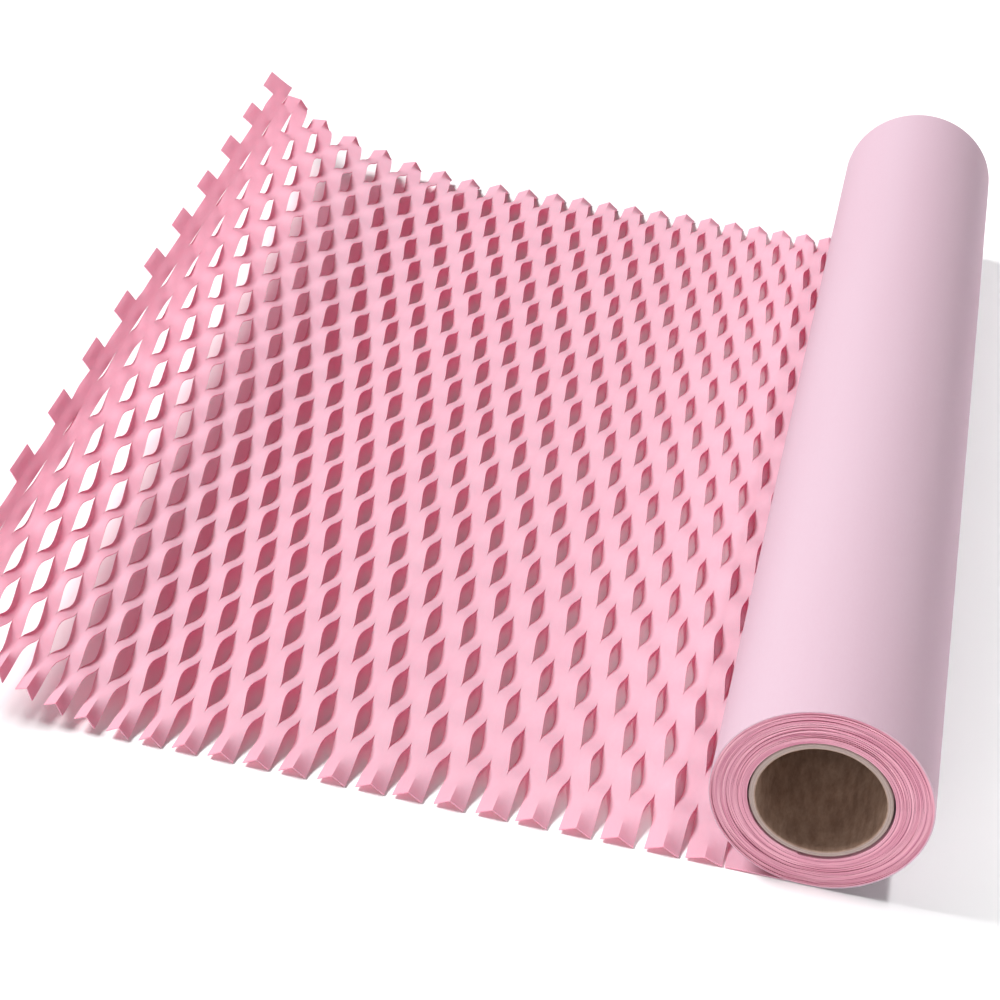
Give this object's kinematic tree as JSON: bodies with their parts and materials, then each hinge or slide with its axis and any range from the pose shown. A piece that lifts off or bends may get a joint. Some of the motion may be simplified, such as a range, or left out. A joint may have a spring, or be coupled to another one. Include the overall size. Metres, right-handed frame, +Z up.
{
  "type": "honeycomb paper roll",
  "caption": "Roll of slit kraft paper on a board core, with its loose end pulled open into slanting honeycomb cells for wrapping and cushioning.",
  "frame": {"origin": "on the floor, in the middle of the roll's flat underside", "axes": "+Y along the core from its near end to its far end, +Z up, the open paper runs out towards -X"},
  "size_m": [0.2298, 0.3, 0.0437],
  "materials": {
    "core_board": "uncoated brown board",
    "wound_paper": "uncoated pink kraft paper",
    "open_paper": "uncoated pink kraft paper"
  },
  "bodies": {
    "root": {"core_tube": "core_board", "wound_paper": "wound_paper", "open_paper": "open_paper"}
  },
  "joints": []
}
